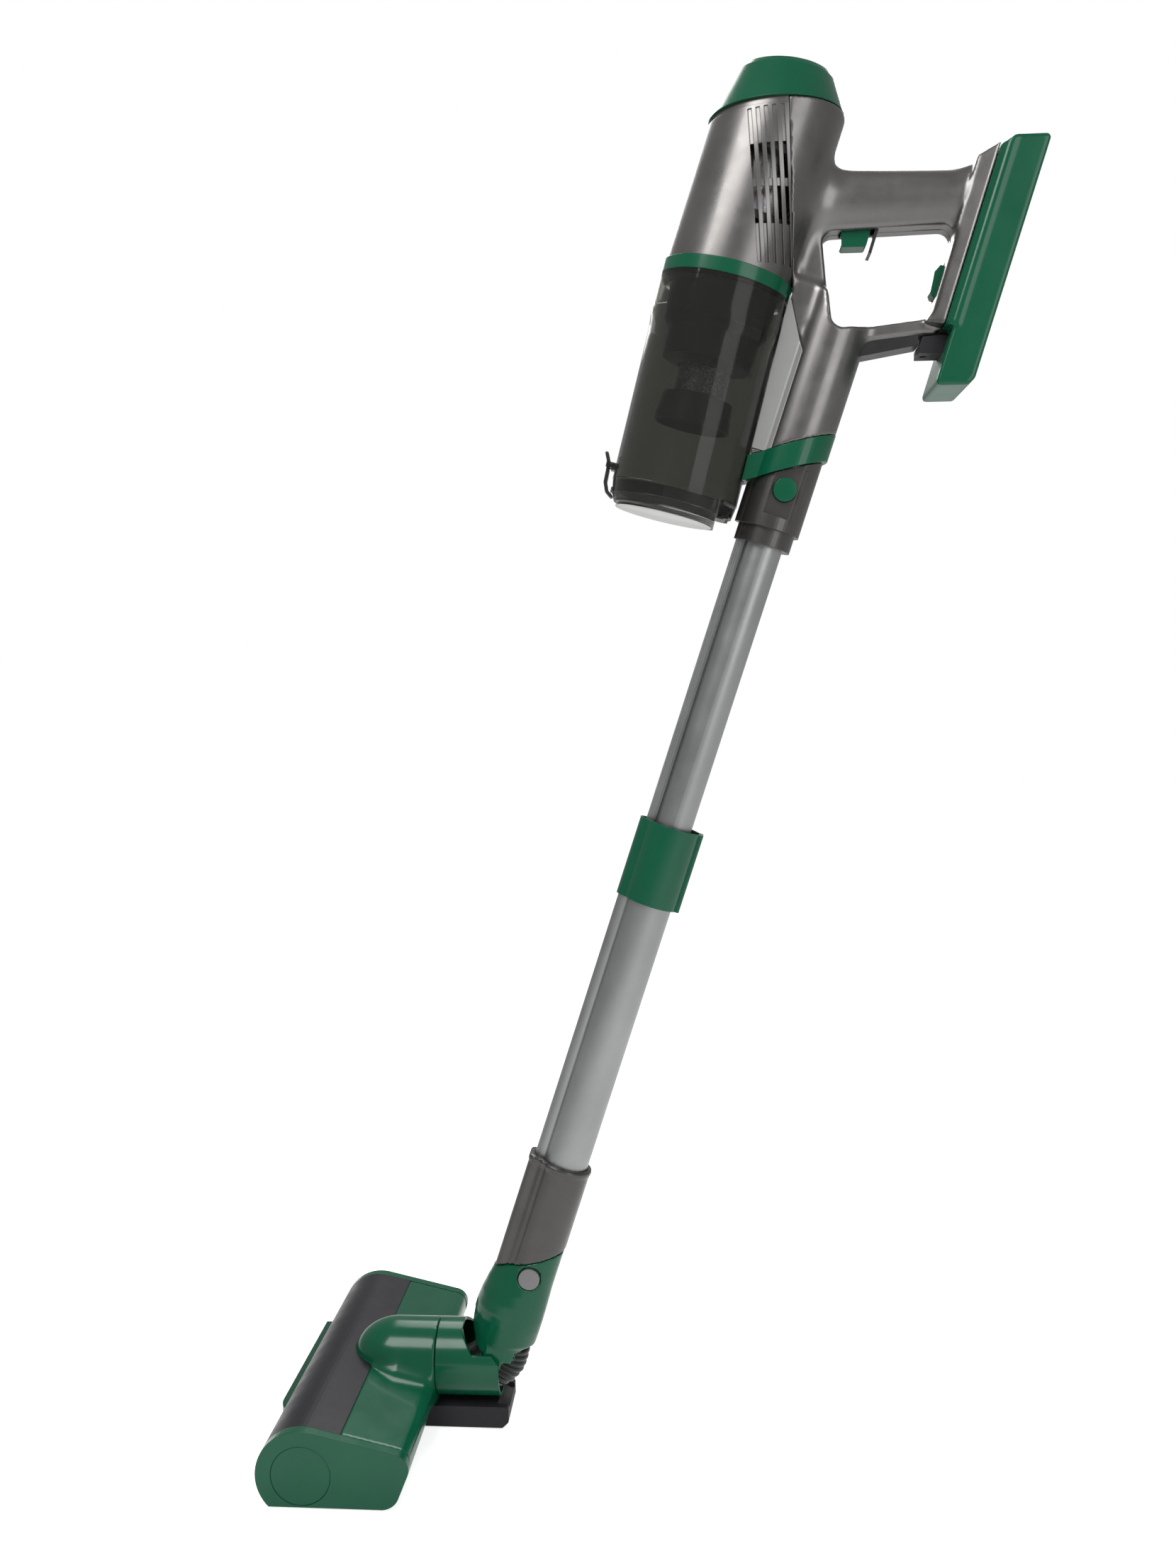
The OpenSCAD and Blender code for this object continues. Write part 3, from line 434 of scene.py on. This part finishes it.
def grip_field(x, y, z):
    """The level grip, a slightly narrow round bar that swells where it meets the barrel."""
    swell = 3.5 * np.clip((388 - y) / 40, 0, 1) ** 2
    bar = np.hypot(x * 1.12, z - GRIP_Z) - 21.9 - swell
    return smax(bar, slab(y, 338, 482), 4)


def plate_field(x, back, along):
    """The plate that flares out to the battery."""
    flare = (np.abs(x) - 20.5 - 9.5 * np.clip(1 + (back + 5) / 11.5, 0, 1.3)) * 0.77
    plate = smax(flare, slab(back, -18, -5), 1.0)
    return smax(plate, slab(along, 1, 137 + 0.8 * (back + 5)), 1.5)


def duct_field(x, o, s):
    """The air duct, a tube with a flat-sided web towards the barrel."""
    web = smax(np.abs(x) - 15.5, slab(o, -46, 0), 1.0)
    duct = smin(np.hypot(x, o) - 26.4, web, 4)
    return smax(duct, slab(s, 730, 874), 5)


def hand_form(x, y, z):
    """The barrel, grip, finger loop, plate and duct as one blended solid."""
    o, s = wand_frame(y, z)
    back, along = battery_face(y, z)
    y2, z2 = np.broadcast_arrays(y, z)
    barrel = smax(np.hypot(x, o - BARREL_OFFSET) - 49.1, slab(s, 840, 1030), 0.5)
    d = smin(barrel, grip_field(x, y, z), 17)
    d = smin(d, extrude(outline_field(LOOP, y2, z2), x, 13.2, 5.5), 9)
    d = smin(d, plate_field(x, back, along), 2.5)
    d = smin(d, duct_field(x, o, s), 7)
    d = smax(d, -rounded(FINGER_HOLE, y2, z2, 8.5), 3.5)
    return smax(d, back + 5.1, 0.4)


def hand_pockets(d, x, y, z):
    """The form with room for the battery rail, the battery button and the trigger."""
    u, v = battery_frame(y, z)
    d = cut(d, np.abs(x) - 12.4, slab(u, -8.4, 3.6), slab(v, 20, 162.4))
    u, v = tilted(y, z, 446.7, 875.2, -15.1)
    d = cut(d, np.abs(x) - 7.9, slab(u, -6, 6.9), slab(v, 12.9, 39.3))
    return cut(d, np.abs(x) - 8.4, slab(y, 378.9, 404.8), slab(z, 930, 955))


def hand_field(x, y, z):
    """The hand unit's form, ended where its neighbours start and hollow for what it holds."""
    o, s = wand_frame(y, z)
    d = hand_pockets(hand_form(x, y, z), x, y, z)
    below_band_seam = 758.3 + 0.582 * o - s
    above_cap_seam = (s - 984) - 0.3288 * (o + 90.7)
    d = np.maximum(d, below_band_seam)
    d = np.maximum(d, above_cap_seam)

    # the taper under the exhaust cap, in the cap's own frame
    u, v = tilted(o, s, CAP_OFFSET, CAP_STATION, CAP_TILT)
    radius = np.hypot(x, u)
    taper = np.where((v > -12) & (radius < 75), (radius - (48.2 - 0.4245 * v)) * 0.92, NO_CUT)
    d = smax(d, taper, 1.2)

    # room for the cup and its ring, then the barrel shell, which shows in front of a sloping line
    u, v = tilted(o, s, CUP_OFFSET, CUP_STATION, CUP_TILT)
    d = cut(d, np.hypot(x, u) - 51.8, v - 10)
    radius = np.hypot(x, o - BARREL_OFFSET)
    before_line = (-83.8 + (985.3 - s) * 0.3719 - o) * 0.937
    d = np.maximum(d, np.minimum(before_line, 52.5 - radius))
    d = np.maximum(d, 46.7 - radius)

    # the duct's bore, and the recesses of the two facet trims beside it
    d = cut(d, np.hypot(x, o) - 24, s - 846)
    trim_end = (o + 40) * 0.866 + (s - 862) * 0.5
    trim_sides = slab(np.abs(x), 13.5, 19.5), slab(o, -40, -17.6), slab(s, 745, 861)
    return cut(d, *trim_sides, below_band_seam, trim_end)


HALF_GAP = 0.03


def right_half(x, y, z):
    return np.maximum(hand_field(x, y, z), HALF_GAP - x)


def left_half(x, y, z):
    return np.maximum(hand_field(x, y, z), HALF_GAP + x)


field_mesh(
    "handle_right_form", (-2.6, 296, 742), (52, 506, 1036), 1.2,
    right_half, "main", gunmetal_form, ["handle_right"],
)
field_mesh(
    "handle_left_form", (-52, 296, 742), (2.6, 506, 1036), 1.2,
    left_half, "main", gunmetal_form, ["handle_left"],
)


# ---------------------------------------------------------------- battery
def battery_solid(x, y, z):
    """A rounded slab with a chamfered rim round its front."""
    y2, z2 = np.broadcast_arrays(y, z)
    block = extrude(rounded(BATTERY, y2, z2, 3.0), x, 35, 2.6)
    back, along = battery_face(y, z)
    rim = (np.abs(x) - 35.4 - 0.95 * np.clip(back, -6, 0)) * 0.72
    rim = smax(rim, slab(back, -4.9, 4), 0.5)
    rim = smax(rim, slab(along, 0.5, 138.2 + 0.8 * back), 0.8)
    return smin(block, rim, 1.5)


def battery_field(x, y, z):
    """The battery's case, with the rail's slot and the room for the cells cut out."""
    u, v = battery_frame(y, z)
    y2, z2 = np.broadcast_arrays(y, z)
    d = cut(battery_solid(x, y, z), np.abs(x) - 12.2, slab(u, -9, -0.05), slab(v, 20, 162.4))
    return cut(d, outline_field(BATTERY, y2, z2) + 3.2, np.abs(x) - 32)


field_mesh(
    "battery_case_form", (-38, 436, 814), (38, 536, 1002), 1.1,
    battery_field, "battery", green_form, ["battery_case"],
)


# ---------------------------------------------------------------- floor head cover with its flared neck
def turn(a, b, c):
    """Above zero where the way from a over b to c turns left."""
    return (b[0] - a[0]) * (c[1] - a[1]) - (b[1] - a[1]) * (c[0] - a[0])


def left_turns(points):
    """The points of an ordered list that a tight band touches on one side, less the last one."""
    chain = []
    for p in points:
        while len(chain) > 1 and turn(chain[-2], chain[-1], p) <= 0:
            chain.pop()
        chain.append(p)
    return chain[:-1]


def head_outline():
    """The head's end outline: three circles wrapped by a band, flat along the bottom."""
    bottom, steps = 1.0, 84
    points = set()
    for middle_y, middle_z, r in ((-22.4, 24.7, 34.0), (45.8, 31.5, 12.0), (37, 15, 14.0)):
        for i in range(steps):
            a = 2 * math.pi * i / steps
            y, z = middle_y + r * math.cos(a), max(middle_z + r * math.sin(a), bottom)
            points.add((round(y, 4), round(z, 4)))
    points = sorted(points)
    return left_turns(points) + left_turns(points[::-1])


HEAD = head_outline()
HEAD_HALF_WIDTH = 132.55
NECK_Z, NECK_RADIUS, NECK_END = 49.6, 30.15, 57.2
NOSE_Y, NOSE_LENGTH = 22, 36


def head_field(x, y, z):
    """The head's cover, hollow and open below, with the neck's housing growing out of its back."""
    y2, z2 = np.broadcast_arrays(y, z)
    outline = outline_field(HEAD, y2, z2)
    under_panel = (y2 < 6.0) & (z2 > 17.0)
    body = extrude(outline + 1.55 * under_panel, x, HEAD_HALF_WIDTH, 0.3)
    w = z - NECK_Z
    nose = np.sqrt(x**2 + w**2 + ((NOSE_Y - y) * NECK_RADIUS / NOSE_LENGTH) ** 2)
    neck = np.where(y < NOSE_Y, nose, np.hypot(x, w)) - NECK_RADIUS
    neck = np.maximum(neck, y - NECK_END)
    flare = 1.5 + 16 * np.clip((y - 4) / 22, 0, 1)
    d = smin(body, neck, flare)
    d = np.maximum(d, np.where(y > NECK_END, y - NECK_END, NO_CUT))
    d = cut(d, outline + 2.5 + 1.5 * under_panel, np.abs(x) - 131)
    d = cut(d, np.hypot(x, w) - 26.9, 10 - y)
    return np.maximum(d, 5.02 - z)


field_mesh(
    "head_cover_form", (-135, -60, 2), (135, 60, 84), 1.25,
    head_field, "head", green_form, ["head_top_cover"],
)


# ---------------------------------------------------------------- elbow
ELBOW_STATIONS = [-14, 3, 9, 16, 24, 32, 42, 52, 64, 90]
ELBOW_RADII = [24.3, 24.3, 25.6, 27.2, 28.6, 28.8, 27.6, 25, 20, 6]


def past_joint(o, s, station):
    """How far a point is above the slanted joint between the elbow and the wand."""
    return (s - station) * 0.8625 - o * 0.506


def elbow_field(x, y, z):
    """The elbow's bulging shell with its rail stub, bores and button pocket, and its two pivot ears."""
    o, s = wand_frame(y, z)
    bulge = (np.hypot(x, o + 5) - np.interp(s, ELBOW_STATIONS, ELBOW_RADII)) * 0.95
    lower = np.where((o < -3) & (s < 23), np.hypot(o + 3, s - 23) - 32, NO_CUT)
    bulge = smax(bulge, lower, 4)
    bulge = smax(bulge, s - 66, 3)
    tube = smin(np.hypot(x, o) - 22.5, np.hypot(x, o + 19.9) - 8.6, 2.0)
    tube = np.maximum(tube, slab(s, 12, 110))
    d = smin(bulge, tube, 7)
    d = smax(d, o - 23.2 + 0.012 * np.clip(s, -10, 60), 2.5)
    d = np.maximum(d, past_joint(o, s, 80.2))
    d = smax(d, -7.2 - s, 4)
    d = cut(d, np.hypot(x, o) - 21, s - 46)
    d = cut(d, np.hypot(x, o) - 17.02)
    d = cut(d, np.hypot(o - 1.3, s - 67.9) - 9.1, 16.4 - x)
    u, v = o + 6.86, s + 9.92
    ear = np.minimum(np.hypot(u, v) - 8, np.maximum(np.abs(u) - 8, slab(v, 0, 14)))
    ear = np.maximum(ear, slab(np.abs(x), 21.6, 24.3))
    pin = np.maximum(np.hypot(u, v) - 4, slab(np.abs(x), 23, 28.5))
    return np.minimum(d, np.minimum(ear, pin))


field_mesh(
    "elbow_form", (-34, 62, 30), (34, 182, 160), 1.0,
    elbow_field, "elbow", green_form, ["elbow_shell"],
)


# ---------------------------------------------------------------- lid latch: one curved strap
def latch(x, y, z):
    """A strap of even thickness along a spine, with a knuckle round its pivot pin."""
    o, s = wand_frame(y, z)
    u, v = tilted(o, s, CUP_OFFSET, CUP_STATION, CUP_TILT)
    spine = [
        (-47.5, -175.6), (-51.6, -172.6), (-54.3, -166.0),
        (-54.6, -157.0), (-55.2, -150.5), (-58.2, -144.0),
    ]
    d = np.full(u.shape, np.inf)
    for start, end in zip(spine, spine[1:]):
        d = np.minimum(d, segment_distance(start, end, u, v))
    from_pin = np.hypot(u + 54.6, v + 152.5)
    d = smin(d - 1.35, from_pin - 1.75, 0.6)
    return cut(extrude(d, x, 4.95, 1.0), from_pin - 0.86)


field_mesh(
    "latch_strap", (-6, 192, 738), (6, 222, 790), 0.45,
    latch, "lid_latch", smoke_part, ["lid_latch"],
)


# ---------------------------------------------------------------- lower connector with its fluted rail
def fluted(x, o, grow=0.0):
    """The wand end's outline: a tube with a square-shouldered rail and a flute down each side of it."""
    tube = np.hypot(x, o) - 22.5 - grow
    across, out = np.abs(x) - 6.6, np.abs(o + 19.6) - 3.6
    corner = np.hypot(np.maximum(across, 0), np.maximum(out, 0))
    rail = corner + np.minimum(np.maximum(across, out), 0) - 5.2 - grow
    d = smin(tube, rail, 1.0)
    return smax(d, -(np.hypot(np.abs(x) - 17.6, o + 15.4) - 2.3), 0.8)


def lower_connector(x, y, z):
    """The wand's lower end: the fluted tube with a raised rim, a step inside and two through bores."""
    o, s = wand_frame(y, z)
    rim = np.maximum(fluted(x, o, 0.7), slab(s, 157.5, 161.4))
    d = smin(fluted(x, o), rim, 1.0)
    d = smax(d, s - 162, 1.0)
    d = np.maximum(d, -past_joint(o, s, 80.7))
    step = smin(np.hypot(x, o - 0.5) - 18.62, np.hypot(x, o + 18) - 7.02, 1.4)
    d = cut(d, step, 102 - s)
    d = cut(d, np.hypot(x, o) - 17.25)
    return cut(d, np.hypot(x, o + 19.9) - 5)


field_mesh(
    "lower_connector_form", (-26, 90, 130), (26, 192, 226), 0.9,
    lower_connector, "lower", connector, ["lower_connector"],
)


# ---------------------------------------------------------------- swept and lofted pieces, in metres
def loft(name, rings, mat, body, closed=False):
    """Quads between rings of equal length; the last ring joins the first, or both ends get a face."""
    n = len(rings[0])
    verts = [v for ring in rings for v in ring]
    faces = []
    for i in range(len(rings) if closed else len(rings) - 1):
        j = (i + 1) % len(rings)
        for a in range(n):
            b = (a + 1) % n
            faces.append((i * n + a, i * n + b, j * n + b, j * n + a))
    if not closed:
        faces.append(tuple(range(n)))
        faces.append(tuple(range((len(rings) - 1) * n, len(rings) * n)))
    me = bpy.data.meshes.new(name)
    me.from_pydata(verts, [], faces)
    return piece(name, me, body, mat)


def bellows():
    """Rounded folds along the bend between the sleeve and the elbow, fuller on the outside of the bend."""
    centre, bend_radius = Vector((0, 0.0743, 0.0771)), 0.0385
    bend_start, bend_sweep = -90, 71.95
    folds, steps_per_fold, sides = 14, 8, 64
    lining, valley, fold_height = 0.0155, 0.0168, 0.0022
    places = [0, 0.3, 0.5, 0.62, 0.76, 0.9, 1]
    outer_radii = [0.0152, 0.0198, 0.0238, 0.0254, 0.0254, 0.0234, 0.0220]

    def ring(t, r):
        """One ring at a share t of the bend."""
        a = math.radians(bend_start + bend_sweep * t)
        middle = centre + Vector((0, math.cos(a), math.sin(a))) * bend_radius
        out = (middle - centre).normalized()
        fullness = float(np.interp(t, places, outer_radii)) / (valley + fold_height)
        points = []
        for i in range(sides):
            b = 2 * math.pi * i / sides
            k = fullness if math.sin(b) > 0 else 1.0
            points.append(middle + r * (math.cos(b) * Vector((1, 0, 0)) + k * math.sin(b) * out))
        return points

    total = folds * steps_per_fold
    rings = []
    for i in range(total + 1):
        wave = math.sqrt(abs(math.sin(math.pi * i / steps_per_fold)))
        rings.append(ring(i / total, valley + fold_height * wave))
    for i in range(total, -1, -1):
        rings.append(ring(i / total, lining))
    o = loft("bellows_folds", rings, bellows_black, None, closed=True)
    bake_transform(o)
    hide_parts("bellows")


bellows()


def strand_end(x, angle, radius, lean, half_width):
    """The four corners of a strand's end, placed by angle and radius round the brush, turned by lean."""
    axis_y, axis_z = -0.0224, 0.0247
    corners = []
    for along, across in ((-1, -1), (1, -1), (1, 1), (-1, 1)):
        corners.append((
            x + along * half_width,
            axis_y - math.sin(angle) * radius - math.cos(lean) * across * half_width,
            axis_z + math.cos(angle) * radius - math.sin(lean) * across * half_width,
        ))
    return corners


def tufts():
    """Four spiral rows of bristle tufts, each tuft a fan of tapering strands."""
    rows, tufts_per_row, strands = 4, 104, 7
    first_x, spacing, twist = -0.1085, 0.00217, math.radians(84)
    root, reach, half_width = 0.0125, 0.0236, 0.00032
    multiplier, increment, modulus = 1103515245, 12345, 2**31
    verts, faces = [], []
    seed = 7
    for row in range(rows):
        for i in range(tufts_per_row):
            x = first_x + i * spacing
            base = math.radians(90 * row) + twist * i / (tufts_per_row - 1)
            for k in range(strands):
                seed = (seed * multiplier + increment) % modulus
                jitter = seed / modulus - 0.5
                fan = k - 3
                a = base + 0.035 * fan / 3
                tip = a + 0.10 * jitter + 0.02 * fan
                n = len(verts)
                verts += strand_end(x, a, root, a, half_width)
                verts += strand_end(x + 0.0011 * jitter, tip, reach + 0.0004 * jitter, a, half_width * 0.6)
                faces += [(n, n + 1, n + 2, n + 3), (n + 7, n + 6, n + 5, n + 4)]
                faces += [(n + j, n + 4 + j, n + 4 + (j + 1) % 4, n + (j + 1) % 4) for j in range(4)]
    me = bpy.data.meshes.new("bristle_tufts")
    me.from_pydata(verts, [], faces)
    piece("bristle_tufts", me, "brush", bristle, ["bristle_strips"], smooth=False)


tufts()


def lid_disc():
    """The pale round plate under the lid, its edges softened."""
    place = CUP @ Matrix.Translation((0, -0.0042, 0))
    low, high, radius, edge, sides = -0.1818, -0.18105, 0.0384, 0.0002, 96
    rings = []
    for r, z in ((radius - edge, low), (radius, low + edge), (radius, high - edge), (radius - edge, high)):
        ring = []
        for i in range(sides):
            a = 2 * math.pi * i / sides
            ring.append(place @ Vector((r * math.cos(a), r * math.sin(a), z)))
        rings.append(ring)
    loft("lid_base_disc", rings, white, "lid")


lid_disc()


# ---------------------------------------------------------------- stage, light and camera
def floor():
    """A white floor, which the camera sees brighter than the light it gives."""
    half, level = 6, -0.0004
    corners = [(-half, -half, level), (half, -half, level), (half, half, level), (-half, half, level)]
    me = bpy.data.meshes.new("floor")
    me.from_pydata(corners, [], [(0, 1, 2, 3)])
    o = put("floor", me)
    m = material("floor_white", (0.86, 0.86, 0.86), 0.8, spec=0.2)
    shader(m).inputs["Emission Color"].default_value = (1, 1, 1, 1)
    path = m.node_tree.nodes.new("ShaderNodeLightPath")
    glow = m.node_tree.nodes.new("ShaderNodeMath")
    glow.operation = "MULTIPLY_ADD"
    glow.inputs[1].default_value = 0.5
    glow.inputs[2].default_value = 0.25
    link(m.node_tree, path.outputs["Is Camera Ray"], glow.inputs[0])
    link(m.node_tree, glow.outputs[0], shader(m).inputs["Emission Strength"])
    vary_rough(m, noise(m, 3, 3), 0.75, 0.85)
    me.materials.append(m)


def area(name, place, target, size, power):
    """A soft rectangular light, turned from its place to a target."""
    lamp = bpy.data.lights.new(name, "AREA")
    lamp.shape = "RECTANGLE"
    lamp.size, lamp.size_y = size
    lamp.energy = power
    o = put(name, lamp)
    o.location = place
    o.rotation_euler = (Vector(target) - Vector(place)).to_track_quat("-Z", "Y").to_euler()


def surroundings():
    """A world that the camera sees as white and that lights the object more dimly."""
    world = bpy.data.worlds.new("world")
    bpy.context.scene.world = world
    world.use_nodes = True
    tree = world.node_tree
    ambient = tree.nodes["Background"]
    ambient.inputs["Color"].default_value = (1, 1, 1, 1)
    ambient.inputs["Strength"].default_value = 0.34
    seen = tree.nodes.new("ShaderNodeBackground")
    seen.inputs["Color"].default_value = (1, 1, 1, 1)
    mix = tree.nodes.new("ShaderNodeMixShader")
    path = tree.nodes.new("ShaderNodeLightPath")
    link(tree, path.outputs["Is Camera Ray"], mix.inputs[0])
    link(tree, ambient.outputs[0], mix.inputs[1])
    link(tree, seen.outputs[0], mix.inputs[2])
    link(tree, mix.outputs[0], tree.nodes["World Output"].inputs["Surface"])


def camera():
    """The photograph's camera, by its place, its direction, its roll and its lens."""
    place, lens, sensor_width = (1.11484, 0.26372, 0.60792), 32.466, 36
    azimuth, height, roll = math.radians(94.12), math.radians(4.44), math.radians(-0.54)
    flat = math.cos(height)
    back = Vector((math.sin(azimuth) * flat, -math.cos(azimuth) * flat, math.sin(height)))
    level = Vector((math.cos(azimuth), math.sin(azimuth), 0))
    upright = back.cross(level)
    right = math.cos(roll) * level + math.sin(roll) * upright
    up = math.cos(roll) * upright - math.sin(roll) * level
    data = bpy.data.cameras.new("camera")
    data.lens = lens
    data.sensor_width = sensor_width
    o = put("camera", data)
    turned = Matrix((right, up, back)).transposed().to_4x4()
    o.matrix_world = Matrix.Translation(place) @ turned
    bpy.context.scene.camera = o


floor()
area("key", (1.3, -0.5, 2.3), (0, 0.2, 0.5), (1.2, 1.2), 34)
area("fill", (1.6, 1.5, 1.1), (0, 0.2, 0.5), (1.0, 1.6), 12)
area("rim", (-1.2, 0.2, 1.8), (0, 0.2, 0.6), (1.2, 1.2), 22)
surroundings()
camera()
bpy.context.scene.view_settings.view_transform = "Standard"
